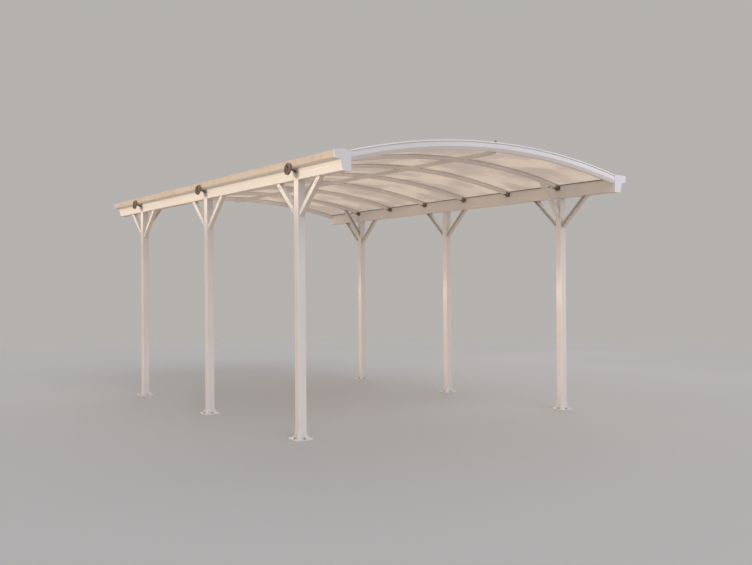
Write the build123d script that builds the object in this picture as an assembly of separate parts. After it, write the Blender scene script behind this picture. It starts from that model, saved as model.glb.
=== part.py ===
from build123d import *
import os
from math import cos, radians, sin, sqrt, tan

# Overall sizes
overall_length = 5000.0
post_row_spacing = 2924.0
beam_underside = 2067.0
arch_end_height = 158.0
arch_rise = 175.0
bay_count = 7
arch_half_angle = 20.0
fit_gap = 0.3
same_place = 0.01

# Gutter beam, one extrusion: a box with a gutter on its outer side
beam_width = 72.0
beam_wall = 2.5
beam_corner = 5.0
lower_band_height = 50.0
lower_band_lean = 13.0
band_groove_depth = 3.0
band_groove_height = 10.0
upper_band_height = 25.0
upper_band_lean = 7.0
gutter_reach = 74.0
gutter_rise = 5.0
gutter_wall = 3.0
gutter_corner = 11.0
lip_height = 147.0
lip_lean = 5.0
lip_bead_width = 7.0
lip_bead_height = 4.0
seat_groove_drop = 14.0
seat_groove_height = 4.0
seat_groove_depth = 2.0

# End caps of the beams
cap_thickness = 10.0
cap_overhang = 2.0
cap_top_height = 157.0
cap_step_in = 36.0
cap_plug_depth = 25.0
cap_hood_depth = 18.0
cap_corner = 7.0
cap_throat = 6.0

# End arches
fascia_depth = 80.0
fascia_width = 42.0
fascia_lip_height = 11.0
fascia_lip_lean = 4.0
fascia_groove_height = 10.0
fascia_groove_depth = 7.0
fascia_face_set_back = 1.5
fascia_face_bottom = 52.0
fascia_lower_slant = 13.0
fascia_back_set_in = 4.0
panel_slot_depth = 12.0

# Roof sheets
panel_drop = 28.0
panel_thickness = 6.0
panel_edge_past_beam = 9.0

# Intermediate arches
rib_cap_width = 44.0
rib_cap_height = 6.0
rib_web_width = 8.0
rib_box_width = 40.0
rib_box_height = 31.0
rib_corner = 3.0

# Ridge purlin
purlin_width = 40.0
purlin_height = 30.0
purlin_corner = 4.0

# Capped bolts on the end arches' crowns
crown_washer_diameter = 26.0
crown_washer_height = 4.0
crown_cap_diameter = 20.0
crown_cap_top_diameter = 14.0
crown_cap_height = 11.0

# Strips over the sheets' ends
clamp_width = 46.0
clamp_height = 3.0
clamp_bead = 4.0
clamp_set_in = 8.0
clamp_end_gap = 1.0

# Shoes that carry the ribs
shoe_length = 46.0
shoe_wall = 5.0
shoe_cheek_height = 22.0
shoe_plate_width = 62.0
shoe_plate_height = 40.0

# Posts
post_size = 70.0
post_wall = 2.5
post_corner = 8.0

# Feet
foot_plate_size = 150.0
foot_plate_height = 10.0
foot_plate_corner = 12.0
foot_collar_wall = 4.0
foot_collar_height = 50.0
foot_web_thickness = 8.0
foot_web_top_drop = 3.0
foot_web_toe = 6.0
foot_web_toe_in = 2.0
foot_web_sag_out = 0.30
foot_web_sag_up = 0.32
anchor_circle = 114.0
anchor_hole = 11.0
anchor_count = 4

# Braces
brace_size = 38.0
brace_wall = 3.0
brace_run = 330.0
brace_angle = 42.0
cross_brace_run = 246.0
cross_brace_angle = 55.0

# Round fittings in front of the gutter
disc_diameter = 96.0
disc_thickness = 18.0
disc_chamfer = 5.0
disc_tilt = 6.0
disc_height = 79.0
disc_stand_off = 4.0
disc_before_post = 30.0
disc_arm_size = 12.0
disc_arm_seat_height = 48.0

# Derived places
row = post_row_spacing / 2
half_beam = beam_width / 2
inner_face = row - half_beam
crown_height = beam_underside + arch_end_height + arch_rise
arch_radius = (inner_face**2 + arch_rise**2) / (2 * arch_rise)
arch_centre = crown_height - arch_radius
arch_axis = Axis((0, 0, arch_centre), (0, 1, 0))
bay = overall_length / bay_count
rib_places = [-overall_length / 2 + bay * k for k in range(1, bay_count)]
post_places = {"front": rib_places[0], "middle": 0.0, "rear": rib_places[-1]}
sides = {"left": -1, "right": 1}
panel_underside = panel_drop + panel_thickness
rib_box_top = panel_underside + fit_gap
rib_bottom = rib_box_top + rib_box_height
panel_half_width = row + half_beam + panel_edge_past_beam


def arc_height(x, drop):
    """Height at x of the arc that lies drop below the top of the end arches."""
    return arch_centre + sqrt((arch_radius - drop) ** 2 - x**2)


def place(shape, side):
    """Put a piece drawn for the right side on either side."""
    return shape if side > 0 else shape.mirror(Plane.YZ)


def along_length(outline, start, end):
    """Extrude an outline of (distance across, height) points from start to end along the length."""
    face = make_face(Polyline(*[(u, start, z) for u, z in outline], close=True))
    return extrude(face, amount=end - start, dir=(0, 1, 0))


def bent(outline, half_width):
    """Bend a section of (place along, drop) points into an arch that ends at both half widths."""
    points = [(0, y, crown_height - drop) for y, drop in outline]
    section = make_face(Polyline(*points, close=True))
    arch = revolve(section, axis=arch_axis, revolution_arc=2 * arch_half_angle)
    arch = arch.rotate(arch_axis, -arch_half_angle)
    limits = Box(2 * half_width, 2 * overall_length, 2 * crown_height)
    return arch & limits


def long_edges(shape, points):
    """The edges along the length that start at the given (distance across, height) points."""
    found = []
    for edge in shape.edges().filter_by(Axis.Y):
        middle = edge.center()
        if any(abs(middle.X - u) < same_place and abs(middle.Z - z) < same_place for u, z in points):
            found.append(edge)
    return found


# Sections of the beam, as (distance across, height)
seat_inner = arc_height(inner_face, rib_box_top)
seat_outer = arc_height(row + half_beam, rib_box_top)
box_inner = inner_face
box_outer = row + half_beam
groove_middle = beam_underside + lower_band_height + band_groove_height / 2
band_outer = box_outer + lower_band_lean
lip_outer = box_outer + gutter_reach
lip_top = beam_underside + lip_height
gutter_bottom = groove_middle + band_groove_height / 2 + upper_band_height
upper_outer = band_outer + upper_band_lean
cap_top = beam_underside + cap_top_height
seat_groove_low = seat_inner - seat_groove_drop
seat_groove_high = seat_groove_low + seat_groove_height

beam_low_inner = (box_inner, beam_underside)
beam_low_outer = (box_outer, beam_underside)
gutter_low_inner = (upper_outer, gutter_bottom)
gutter_low_outer = (lip_outer - lip_lean, gutter_bottom + gutter_rise)
gutter_floor_inner = (box_outer, gutter_bottom + gutter_wall)
gutter_floor_outer = (lip_outer - lip_lean - gutter_wall, gutter_bottom + gutter_rise + gutter_wall)
beam_outer_side = [
    beam_low_inner,
    beam_low_outer,
    (band_outer, groove_middle - band_groove_height / 2),
    (band_outer - band_groove_depth, groove_middle),
    (band_outer, groove_middle + band_groove_height / 2),
    gutter_low_inner,
    gutter_low_outer,
    (lip_outer, lip_top),
]
beam_outline = beam_outer_side + [
    (lip_outer - lip_bead_width, lip_top),
    (lip_outer - lip_bead_width, lip_top - lip_bead_height),
    (lip_outer - gutter_wall, lip_top - lip_bead_height),
    gutter_floor_outer,
    gutter_floor_inner,
    (box_outer, seat_outer),
    (box_inner, seat_inner),
    (box_inner, seat_groove_high),
    (box_inner + seat_groove_depth, (seat_groove_low + seat_groove_high) / 2),
    (box_inner, seat_groove_low),
]
cavity_outline = [
    (box_inner + beam_wall, beam_underside + beam_wall),
    (box_outer - beam_wall, beam_underside + beam_wall),
    (band_outer - band_groove_depth - beam_wall, groove_middle),
    (upper_outer - 2 * beam_wall, gutter_bottom - beam_wall),
    (box_outer - beam_wall, gutter_bottom - beam_wall),
    (box_outer - beam_wall, seat_outer - beam_wall),
    (box_inner + seat_groove_depth + beam_wall, seat_inner - beam_wall),
    (box_inner + seat_groove_depth + beam_wall, seat_groove_low),
    (box_inner + beam_wall, seat_groove_low),
]


def gutter_beam():
    """The right beam between its caps: a hollow box that carries the gutter on its outer side."""
    end = overall_length / 2 - cap_thickness
    beam = along_length(beam_outline, -end, end)
    beam = fillet(long_edges(beam, [beam_low_inner, beam_low_outer]), beam_corner)
    beam = fillet(long_edges(beam, [gutter_low_outer]), gutter_corner)
    beam = fillet(long_edges(beam, [gutter_floor_outer]), gutter_corner - gutter_wall)
    return beam - along_length(cavity_outline, -end, end)


def gutter_cap(end):
    """The right cap at one end of the beam: a plate that hides the section, with a plug and a hood.

    Its top runs level from the lip over the gutter and steps down to the arch's top line.
    """
    face = end * (overall_length / 2 - cap_thickness)
    low = beam_underside - cap_overhang
    inner = box_inner + fit_gap
    step = box_outer - cap_step_in
    corner_low_outer = (box_outer + cap_overhang, low)
    corner_throat = (upper_outer + cap_overhang, gutter_bottom - cap_overhang)
    corner_lip_low = (gutter_low_outer[0] + cap_overhang, gutter_low_outer[1] - cap_overhang)
    corner_lip_top = (lip_outer + cap_overhang, lip_top + cap_overhang)
    outline = [
        (inner, low),
        corner_low_outer,
        corner_throat,
        corner_lip_low,
        corner_lip_top,
        (box_outer, cap_top),
        (step, cap_top),
        (step, arc_height(step, 0)),
        (inner, arc_height(inner, 0)),
    ]
    cap = along_length(outline, face, face + end * cap_thickness)
    cap = fillet(long_edges(cap, [corner_throat]), cap_throat)
    cap = fillet(long_edges(cap, [corner_low_outer, corner_lip_low, corner_lip_top]), cap_corner)
    plug_inner = box_inner + seat_groove_depth + beam_wall + fit_gap
    plug_outer = box_outer - beam_wall - fit_gap
    plug_low = beam_underside + beam_wall + fit_gap
    plug_outline = [
        (plug_inner, plug_low),
        (plug_outer, plug_low),
        (plug_outer, seat_outer - beam_wall - fit_gap),
        (plug_inner, seat_inner - 2 * beam_wall),
    ]
    cap += along_length(plug_outline, face, face - end * cap_plug_depth)
    hood_outline = [
        (inner, arc_height(inner, rib_box_top) + fit_gap),
        (step, arc_height(step, rib_box_top) + fit_gap),
        (step, arc_height(step, 0)),
        (inner, arc_height(inner, 0)),
    ]
    cap += along_length(hood_outline, face, face - end * cap_hood_depth)
    return cap


def end_arch(end):
    """The deep arch at one end, with a lip, a shadow groove, a face and a slot for the sheet."""
    face_top = fascia_lip_height + fascia_groove_height
    back = fascia_width - fascia_back_set_in
    section = [
        (fascia_lip_lean, 0),
        (0, fascia_lip_height),
        (fascia_groove_depth, fascia_lip_height),
        (fascia_groove_depth, face_top),
        (fascia_face_set_back, face_top),
        (fascia_face_set_back, fascia_face_bottom),
        (fascia_face_set_back + fascia_lower_slant, fascia_depth),
        (back, fascia_depth),
        (back, panel_underside + fit_gap),
        (fascia_width - panel_slot_depth, panel_underside + fit_gap),
        (fascia_width - panel_slot_depth, panel_drop - fit_gap),
        (fascia_width, panel_drop - fit_gap),
        (fascia_width, 0),
    ]
    outline = [(end * (overall_length / 2 - depth), drop) for depth, drop in section]
    return bent(outline, inner_face)


def rib(y):
    """One intermediate arch: a box below the sheets, a web between them and a cap over the joint."""
    half_box = rib_box_width / 2
    half_cap = rib_cap_width / 2
    half_web = rib_web_width / 2
    cap_low = panel_drop - fit_gap
    cap_high = cap_low - rib_cap_height
    box = [
        (y - half_box, rib_box_top),
        (y - half_box, rib_bottom - rib_corner),
        (y - half_box + rib_corner, rib_bottom),
        (y + half_box - rib_corner, rib_bottom),
        (y + half_box, rib_bottom - rib_corner),
        (y + half_box, rib_box_top),
    ]
    cover = [
        (y - half_web, rib_box_top),
        (y - half_web, cap_low),
        (y - half_cap, cap_low),
        (y - half_cap, cap_high),
        (y + half_cap, cap_high),
        (y + half_cap, cap_low),
        (y + half_web, cap_low),
        (y + half_web, rib_box_top),
    ]
    carried = bent(box, inner_face - shoe_wall)
    return carried + bent(cover, panel_half_width)


def roof_panel(number):
    """One bent sheet, from its slot or rib web to the next."""
    front_web = -overall_length / 2 + bay * (number - 1) + rib_web_width / 2
    rear_web = -overall_length / 2 + bay * number - rib_web_width / 2
    if number == 1:
        front_web = -overall_length / 2 + fascia_width - panel_slot_depth
    if number == bay_count:
        rear_web = overall_length / 2 - fascia_width + panel_slot_depth
    outline = [
        (front_web + 2 * fit_gap, panel_drop),
        (rear_web - 2 * fit_gap, panel_drop),
        (rear_web - 2 * fit_gap, panel_underside),
        (front_web + 2 * fit_gap, panel_underside),
    ]
    return bent(outline, panel_half_width)


def panel_clamps():
    """The strips on the right side that hold the sheets down on the beam, one a bay."""
    inner = inner_face + clamp_set_in
    outer = inner + clamp_width
    low_inner = arc_height(inner, panel_drop) + fit_gap
    low_outer = arc_height(outer, panel_drop) + fit_gap
    outline = [
        (inner, low_inner),
        (outer, low_outer),
        (outer, low_outer + clamp_height + clamp_bead),
        (outer - clamp_bead, low_outer + clamp_height + clamp_bead),
        (outer - clamp_bead, low_outer + clamp_height),
        (inner, low_inner + clamp_height),
    ]
    strips = []
    for number in range(1, bay_count + 1):
        start = -overall_length / 2 + bay * (number - 1) + rib_cap_width / 2
        end = start + bay - rib_cap_width
        start = max(start, -overall_length / 2 + cap_thickness + cap_hood_depth)
        end = min(end, overall_length / 2 - cap_thickness - cap_hood_depth)
        strips.append(along_length(outline, start + clamp_end_gap, end - clamp_end_gap))
    return Compound(strips)


def rib_brackets():
    """The right shoes, one a rib: a back plate on the beam and a cradle under the rib's end."""
    shoes = []
    plate_high = arc_height(inner_face, rib_box_top) - seat_groove_drop / 2
    plate_low = plate_high - shoe_plate_height
    cradle_low = rib_bottom + fit_gap
    half_in = rib_box_width / 2 + fit_gap
    half_out = half_in + shoe_wall
    for y in rib_places:
        section = [
            (y - half_out, cradle_low - shoe_cheek_height),
            (y - half_out, cradle_low + shoe_wall),
            (y + half_out, cradle_low + shoe_wall),
            (y + half_out, cradle_low - shoe_cheek_height),
            (y + half_in, cradle_low - shoe_cheek_height),
            (y + half_in, cradle_low),
            (y - half_in, cradle_low),
            (y - half_in, cradle_low - shoe_cheek_height),
        ]
        cradle = bent(section, inner_face - shoe_wall)
        cradle &= Pos(inner_face - shoe_length / 2, 0, beam_underside) * Box(
            shoe_length, 2 * overall_length, crown_height
        )
        plate_centre = (inner_face - shoe_wall / 2, y, (plate_low + plate_high) / 2)
        plate = Pos(*plate_centre) * Box(shoe_wall, shoe_plate_width, shoe_plate_height)
        shoes.append(cradle + plate)
    return Compound(shoes)


def ridge_purlin():
    """The tube under the ribs at the crown, between the end arches."""
    length = overall_length - 2 * (fascia_width - fascia_back_set_in)
    top = crown_height - rib_bottom - fit_gap
    tube = Pos(0, 0, top - purlin_height / 2) * Box(purlin_width, length, purlin_height)
    return fillet(tube.edges().filter_by(Axis.Y), purlin_corner)


def crown_bolts():
    """The capped bolts that hold the ridge purlin, one on the crown of each end arch."""
    washer = Pos(0, 0, crown_washer_height / 2) * Cylinder(crown_washer_diameter / 2, crown_washer_height)
    cap = Pos(0, 0, crown_washer_height + crown_cap_height / 2) * Cone(
        crown_cap_diameter / 2, crown_cap_top_diameter / 2, crown_cap_height
    )
    bolt = Pos(0, 0, crown_height) * (washer + cap)
    reach = (overall_length - fascia_width) / 2
    return Compound([Pos(0, end * reach, 0) * bolt for end in (-1, 1)])


def square_tube(size, wall, corner, length):
    """An upright square tube on the origin."""
    bore = RectangleRounded(size - 2 * wall, size - 2 * wall, corner - wall)
    return extrude(RectangleRounded(size, size, corner) - bore, amount=length)


def post(y):
    """One post of the right row, between its foot and the beam."""
    tube = square_tube(post_size, post_wall, post_corner, beam_underside - foot_plate_height)
    return Pos(row, y, foot_plate_height) * tube


def diagonal_reach(size, corner):
    """Distance from the centre of a square with rounded corners to its outline, along the diagonal."""
    return size / sqrt(2) - corner * (sqrt(2) - 1)


def feet():
    """The feet of the right row, each a plate, a collar round the post and four curved corner webs."""
    plate = extrude(
        RectangleRounded(foot_plate_size, foot_plate_size, foot_plate_corner), amount=foot_plate_height
    )
    collar_in = post_size + 2 * fit_gap
    collar_size = collar_in + 2 * foot_collar_wall
    collar_corner = post_corner + foot_collar_wall
    collar = Pos(0, 0, foot_plate_height) * square_tube(
        collar_size, foot_collar_wall, collar_corner, foot_collar_height
    )
    root = diagonal_reach(collar_size, collar_corner) - foot_collar_wall / 2
    toe = diagonal_reach(foot_plate_size, foot_plate_corner) - foot_web_toe_in
    top = foot_plate_height + foot_collar_height - foot_web_top_drop
    low = foot_plate_height
    sunk = foot_plate_height / 2
    sag = (root + (toe - root) * foot_web_sag_out, low + (top - low) * foot_web_sag_up)
    side = [
        Line((root, 0, sunk), (toe, 0, sunk)),
        Line((toe, 0, sunk), (toe, 0, low + foot_web_toe)),
        ThreePointArc((toe, 0, low + foot_web_toe), (sag[0], 0, sag[1]), (root, 0, top)),
        Line((root, 0, top), (root, 0, sunk)),
    ]
    web = extrude(make_face(side), amount=foot_web_thickness / 2, dir=(0, 1, 0), both=True)
    solid = plate + collar
    for quarter in range(4):
        solid += Rot(0, 0, 45 + 90 * quarter) * web
    holes = PolarLocations(anchor_circle / 2, anchor_count) * Cylinder(anchor_hole / 2, 4 * foot_plate_height)
    solid -= holes
    return Compound([Pos(row, y, 0) * solid for y in post_places.values()])


def channel(start, direction, web_side, length):
    """A channel from a point along a direction, with its web on one side and its mouth on the other."""
    section = Rectangle(brace_size, brace_size)
    section -= Pos(-brace_wall, 0) * Rectangle(brace_size, brace_size - 2 * brace_wall)
    return extrude(Plane(start, x_dir=web_side, z_dir=direction) * section, amount=length)


def long_brace(y, way):
    """A brace along the right beam, from the post up to the beam, to the front or the rear of the post."""
    slope = radians(brace_angle)
    start = (row, y, beam_underside - brace_run * tan(slope))
    bar = channel(start, (0, way * cos(slope), sin(slope)), (1, 0, 0), 3 * brace_run)
    reach = 2 * brace_run
    middle = (row, y + way * (post_size + reach) / 2, beam_underside - reach / 2)
    return bar & Pos(*middle) * Box(reach, reach, reach)


def cross_brace(y, end):
    """The brace across the bay, from an end post of the right row up to the rib over it."""
    slope = radians(cross_brace_angle)
    top = arc_height(row - cross_brace_run, rib_bottom)
    start = (row, y, top - cross_brace_run * tan(slope))
    bar = channel(start, (-cos(slope), 0, sin(slope)), (0, end, 0), 3 * cross_brace_run)
    reach = 4 * cross_brace_run
    bar &= Pos(row - (post_size + reach) / 2, y, start[2]) * Box(reach, reach, reach)
    underside = Cylinder(arch_radius - rib_bottom - fit_gap, 2 * brace_size)
    return bar & Pos(0, y, arch_centre) * Rot(90, 0, 0) * underside


def braces(y, end):
    """The braces at one post of the right row; end is -1 or 1 at an end post and 0 at a middle one."""
    bars = [long_brace(y, -1), long_brace(y, 1)]
    if end:
        bars.append(cross_brace(y, end))
    return Compound(bars)


def gutter_fittings():
    """The round fittings at the right gutter, one just before each post, on a bent arm from the beam."""
    radius = disc_diameter / 2
    section = [
        (0, 0),
        (radius, 0),
        (radius, disc_thickness - disc_chamfer),
        (radius - disc_chamfer, disc_thickness),
        (0, disc_thickness),
    ]
    disc = revolve(make_face(Polyline(*[(r, 0, t) for r, t in section], close=True)), Axis.Z)
    back = (lip_outer + disc_stand_off, 0, beam_underside + disc_height)
    seat = (box_outer, 0, beam_underside + disc_arm_seat_height)
    path = TangentArc(back, seat, tangent=(-1, 0, 0))
    arm = sweep(Plane(back, z_dir=(-1, 0, 0)) * Rectangle(disc_arm_size, disc_arm_size), path)
    fitting = Pos(*back) * Rot(0, 90 - disc_tilt, 0) * disc + arm
    beam_and_channel = beam_outer_side + [(box_inner, lip_top)]
    fitting -= along_length(beam_and_channel, -disc_diameter, disc_diameter)
    return Compound([Pos(0, y - disc_before_post, 0) * fitting for y in post_places.values()])


nodes = {
    "front_arch": end_arch(-1),
    "rear_arch": end_arch(1),
    "ridge_purlin": ridge_purlin(),
    "crown_bolts": crown_bolts(),
}
for number, y in enumerate(rib_places, start=1):
    nodes[f"rib_{number}"] = rib(y)
for number in range(1, bay_count + 1):
    nodes[f"roof_panel_{number}"] = roof_panel(number)
for side_name, side in sides.items():
    nodes[f"{side_name}_gutter_beam"] = place(gutter_beam(), side)
    nodes[f"{side_name}_panel_clamps"] = place(panel_clamps(), side)
    nodes[f"{side_name}_rib_brackets"] = place(rib_brackets(), side)
    nodes[f"{side_name}_gutter_fittings"] = place(gutter_fittings(), side)
    nodes[f"{side_name}_feet"] = place(feet(), side)
    nodes[f"gutter_cap_front_{side_name}"] = place(gutter_cap(-1), side)
    nodes[f"gutter_cap_rear_{side_name}"] = place(gutter_cap(1), side)
    for place_name, y in post_places.items():
        end = {"front": -1, "middle": 0, "rear": 1}[place_name]
        nodes[f"post_{place_name}_{side_name}"] = place(post(y), side)
        nodes[f"braces_{place_name}_{side_name}"] = place(braces(y, end), side)

os.makedirs("parts", exist_ok=True)
for name, shape in nodes.items():
    export_step(shape, f"parts/{name}.step")
print(len(nodes), "nodes")
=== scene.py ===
"""An arched carport in its finishes, with the fasteners, seals and trims that its frame carries.

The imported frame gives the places, in metres: x runs across the bay, y from front to rear and z up.
"""

import logging
import math
from collections.abc import Sequence
from dataclasses import dataclass, field
from enum import Enum
from typing import ClassVar

import bmesh
import bpy
from mathutils import Matrix, Vector


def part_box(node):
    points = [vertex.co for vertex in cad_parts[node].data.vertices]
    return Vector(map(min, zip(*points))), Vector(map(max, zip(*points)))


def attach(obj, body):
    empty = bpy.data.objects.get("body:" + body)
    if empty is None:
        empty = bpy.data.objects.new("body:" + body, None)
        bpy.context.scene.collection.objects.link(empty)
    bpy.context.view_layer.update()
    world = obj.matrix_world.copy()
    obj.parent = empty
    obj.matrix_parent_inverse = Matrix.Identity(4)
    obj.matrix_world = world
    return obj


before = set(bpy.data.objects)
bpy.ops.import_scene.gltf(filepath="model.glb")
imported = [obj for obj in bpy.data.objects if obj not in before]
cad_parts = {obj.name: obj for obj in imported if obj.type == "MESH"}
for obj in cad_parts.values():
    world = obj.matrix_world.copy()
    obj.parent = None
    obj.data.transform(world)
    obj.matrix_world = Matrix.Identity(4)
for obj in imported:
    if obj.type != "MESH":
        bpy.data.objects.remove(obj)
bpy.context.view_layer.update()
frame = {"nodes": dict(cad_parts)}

log = logging.getLogger("carport")

Colour = tuple[float, float, float]
Place = tuple[float, float, float]
Point = tuple[float, float]
Pair = tuple[float, float]
Mesh = bmesh.types.BMesh
Ring = list[bmesh.types.BMVert]

SIDES = {"left": -1, "right": 1}
POST_PLACES = ("front", "middle", "rear")
ROOT = "root"
MILLIMETRE = 0.001
WELD = MILLIMETRE / 50
SHARP_FROM = math.radians(38)
BAYS = 7
RIB_CAP_HALF = 0.022
SHEET_DROP = 0.028
SHEET_THICKNESS = 0.006


def middle_of(node: str) -> Vector:
    """The middle of a node's box."""
    low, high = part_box(node)
    return (low + high) / 2


class Value:
    """A socket in a material, with arithmetic that adds Math nodes."""

    def __init__(self, graph: "Graph", socket: bpy.types.NodeSocket) -> None:
        """Keep the graph and its output socket."""
        self.graph = graph
        self.socket = socket

    def maths(self, operation: str, first: "Value | float", second: "Value | float" = 0.0) -> "Value":
        """Add one Math node.

        Args:
            operation: The node's operation.
            first: Its first value or link.
            second: Its second value or link.

        Returns:
            The node's output.
        """
        return self.graph.node("ShaderNodeMath", {"operation": operation}, {0: first, 1: second})

    def __add__(self, other: "Value | float") -> "Value":
        """The sum."""
        return self.maths("ADD", self, other)

    def __radd__(self, other: "Value | float") -> "Value":
        """The reflected sum."""
        return self.maths("ADD", other, self)

    def __sub__(self, other: "Value | float") -> "Value":
        """The difference."""
        return self.maths("SUBTRACT", self, other)

    def __rsub__(self, other: "Value | float") -> "Value":
        """The reflected difference."""
        return self.maths("SUBTRACT", other, self)

    def __mul__(self, other: "Value | float") -> "Value":
        """The product."""
        return self.maths("MULTIPLY", self, other)

    def __rmul__(self, other: "Value | float") -> "Value":
        """The reflected product."""
        return self.maths("MULTIPLY", other, self)

    def stepped(self, low: float, high: float) -> "Value":
        """A smooth step.

        Args:
            low: The value that gives 0.
            high: The value that gives 1.

        Returns:
            A mask from 0 to 1.
        """
        inputs = {"Value": self, "From Min": low, "From Max": high}
        return self.graph.node("ShaderNodeMapRange", {"interpolation_type": "SMOOTHSTEP"}, inputs)


class Graph:
    """The node tree of a material or a world, built from short calls."""

    def __init__(self, tree: bpy.types.NodeTree) -> None:
        """Start from an empty tree."""
        self.tree = tree
        self.tree.nodes.clear()

    def node(
        self, kind: str, settings: dict | None = None, inputs: dict | None = None, output: int | str = 0
    ) -> Value:
        """Add a node of any type.

        Args:
            kind: The node's type.
            settings: Its properties, set first.
            inputs: The values or links of its sockets, by name or number.
            output: The socket to return, by name or number.

        Returns:
            The chosen output.
        """
        made = self.tree.nodes.new(kind)
        for name, setting in (settings or {}).items():
            setattr(made, name, setting)
        for name, value in (inputs or {}).items():
            if isinstance(value, Value):
                self.tree.links.new(value.socket, made.inputs[name])
            else:
                made.inputs[name].default_value = value
        return Value(self, made.outputs[output] if made.outputs else None)

    def principled(self, inputs: dict) -> Value:
        """A Principled shader."""
        return self.node("ShaderNodeBsdfPrincipled", inputs=inputs)

    def surface(self, shader: Value) -> None:
        """Put a shader on the surface."""
        self.node("ShaderNodeOutputMaterial", inputs={"Surface": shader})

    def place(self) -> Value:
        """The place on the object, in metres."""
        return self.node("ShaderNodeTexCoord", output="Object")

    def scaled(self, vector: Value, scale: Place) -> Value:
        """A vector stretched along its axes."""
        return self.node("ShaderNodeVectorMath", {"operation": "MULTIPLY"}, {0: vector, 1: scale})

    def length(self, vector: Value) -> Value:
        """The length of a vector."""
        return self.node("ShaderNodeVectorMath", {"operation": "LENGTH"}, {0: vector}, output="Value")

    def part(self, vector: Value, axis: str) -> Value:
        """One component of a vector, by the name of its axis."""
        return self.node("ShaderNodeSeparateXYZ", inputs={0: vector}, output=axis)

    def upward(self) -> Value:
        """How far the surface faces up, from -1 to 1."""
        return self.part(self.node("ShaderNodeNewGeometry", output="Normal"), "Z")

    def noise(self, place: Value, kind: "Cloud | Relief") -> Value:
        """Smooth noise.

        Args:
            place: Where it is read.
            kind: What says how it looks.

        Returns:
            A value about 0.5.
        """
        if kind.stretch is not None:
            place = self.scaled(place, kind.stretch)
        inputs = {"Vector": place, "Scale": kind.scale, "Detail": kind.detail, "Roughness": kind.roughness}
        return self.node("ShaderNodeTexNoise", inputs=inputs)

    def blend(self, mask: Value | float, first: Value | Colour, second: Value | Colour) -> Value:
        """Mix two colours.

        Args:
            mask: 0 gives the first colour and 1 the second.
            first: A colour or a link.
            second: A colour or a link.

        Returns:
            The mixed colour.
        """
        pair = [c if isinstance(c, Value) else (*c, 1.0) for c in (first, second)]
        inputs = {0: mask, 6: pair[0], 7: pair[1]}
        return self.node("ShaderNodeMix", {"data_type": "RGBA"}, inputs, output=2)

    def bump(self, height: Value, depth: float, strength: float, normal: Value | None = None) -> Value:
        """A bumped normal.

        Args:
            height: The height, from 0 to 1.
            depth: What a height of 1 measures, in metres.
            strength: How much of it shows.
            normal: A normal that is already bumped.

        Returns:
            The new normal.
        """
        inputs = {"Height": height, "Distance": depth, "Strength": strength}
        if normal is not None:
            inputs["Normal"] = normal
        return self.node("ShaderNodeBump", inputs=inputs)


@dataclass(frozen=True)
class Cloud:
    """A mask made of noise.

    Attributes:
        scale: Patches a metre.
        detail: How many finer layers it has.
        roughness: How strong the finer layers are.
        steps: The noise that gives 0 and the noise that gives 1.
        stretch: What the place is multiplied by first, along its axes.
    """

    scale: float
    detail: float
    roughness: float = 0.5
    steps: Pair = (0.35, 0.70)
    stretch: Place | None = None

    def mask(self, graph: Graph, place: Value) -> Value:
        """The mask at a place, from 0 to 1."""
        return graph.noise(place, self).stepped(*self.steps)


@dataclass(frozen=True)
class Relief:
    """Noise that lifts the surface by a depth in metres; the rest is said as for a cloud."""

    scale: float
    detail: float
    depth: float
    strength: float
    stretch: Place | None = None
    roughness: ClassVar[float] = 0.5

    def lift(self, graph: Graph, place: Value, normal: Value | None = None) -> Value:
        """The normal at a place, on top of one that is already bumped."""
        return graph.bump(graph.noise(place, self), self.depth, self.strength, normal)


class Drawn(Enum):
    """The way that an extrusion was drawn through its die."""

    LENGTH = "along the length"
    HEIGHT = "upwards"
    ARCH = "round the arch"
    NONE = "not drawn"


@dataclass(frozen=True)
class Arch:
    """The circle that the top of the arches follows."""

    half_width: float
    crown: float
    radius: float

    @classmethod
    def from_node(cls, node: str) -> "Arch":
        """Measure an end arch.

        Args:
            node: The arch's name in the frame.

        Returns:
            The circle of its top.
        """
        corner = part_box(node)[1]
        ends = [v.co.z for v in frame["nodes"][node].data.vertices if v.co.x > corner.x - MILLIMETRE]
        rise = corner.z - max(ends)
        return cls(corner.x, corner.z, (corner.x**2 + rise**2) / (2 * rise))

    @property
    def centre(self) -> float:
        """The height of the circle's centre, which is below the ground."""
        return self.crown - self.radius

    def outward(self, x: float) -> Vector:
        """The direction away from the centre at a distance across."""
        turn = math.asin(x / self.radius)
        return Vector((math.sin(turn), 0.0, math.cos(turn)))

    def at(self, x: float, y: float, drop: float) -> Vector:
        """A point under the top of the arches.

        Args:
            x: The distance across, measured on the circle of the top.
            y: The place along the length.
            drop: How far it lies inside that circle.

        Returns:
            The point.
        """
        return Vector((0.0, y, self.centre)) + self.outward(x) * (self.radius - drop)


class Finish:
    """A finish that makes its material once and then dresses any number of pieces."""

    name: str
    made: ClassVar[dict[str, bpy.types.Material]] = {}

    def make(self) -> bpy.types.Material:
        """Build the material, or return the one that this script has built already."""
        if self.name not in self.made:
            material = bpy.data.materials.new(self.name)
            material.use_nodes = True
            graph = Graph(material.node_tree)
            graph.surface(self.shade(graph))
            self.made[self.name] = material
        return self.made[self.name]

    def shade(self, graph: Graph) -> Value:
        """Build the shader; each finish has its own."""
        raise NotImplementedError

    def dress(self, piece: bpy.types.Object) -> None:
        """Put the finish on a piece or a node."""
        if not piece.material_slots:
            piece.data.materials.append(None)
        for slot in piece.material_slots:
            slot.material = self.make()


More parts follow.
